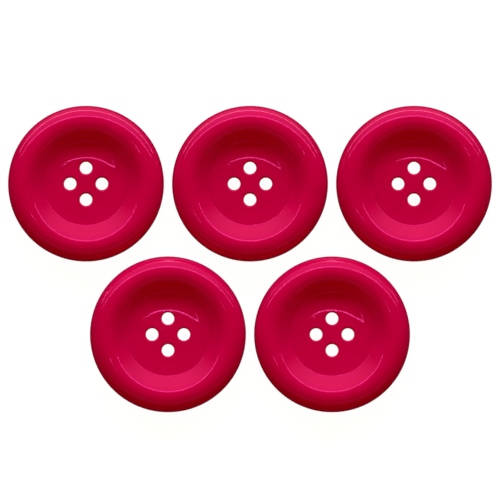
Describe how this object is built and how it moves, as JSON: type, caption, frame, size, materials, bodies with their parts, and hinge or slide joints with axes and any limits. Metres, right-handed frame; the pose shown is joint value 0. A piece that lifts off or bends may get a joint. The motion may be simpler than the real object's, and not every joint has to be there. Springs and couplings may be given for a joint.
{
  "type": "set of sew-through buttons",
  "caption": "Set of glossy plastic sew-through buttons, each a rolled rim round a dish with a ring of thread holes, lying loose and face up in staggered rows.",
  "frame": {"origin": "centre of the set's outline, on the plane that the backs rest on", "axes": "+X along the row of three, +Y from the row of two to the row of three, +Z out of the buttons' faces"},
  "size_m": [0.0868, 0.055, 0.0046],
  "materials": {
    "button_plastic": "polished, crimson right through"
  },
  "bodies": {
    "root": {"top_left_button": "button_plastic", "top_middle_button": "button_plastic", "top_right_button": "button_plastic", "bottom_left_button": "button_plastic", "bottom_right_button": "button_plastic"}
  },
  "joints": []
}
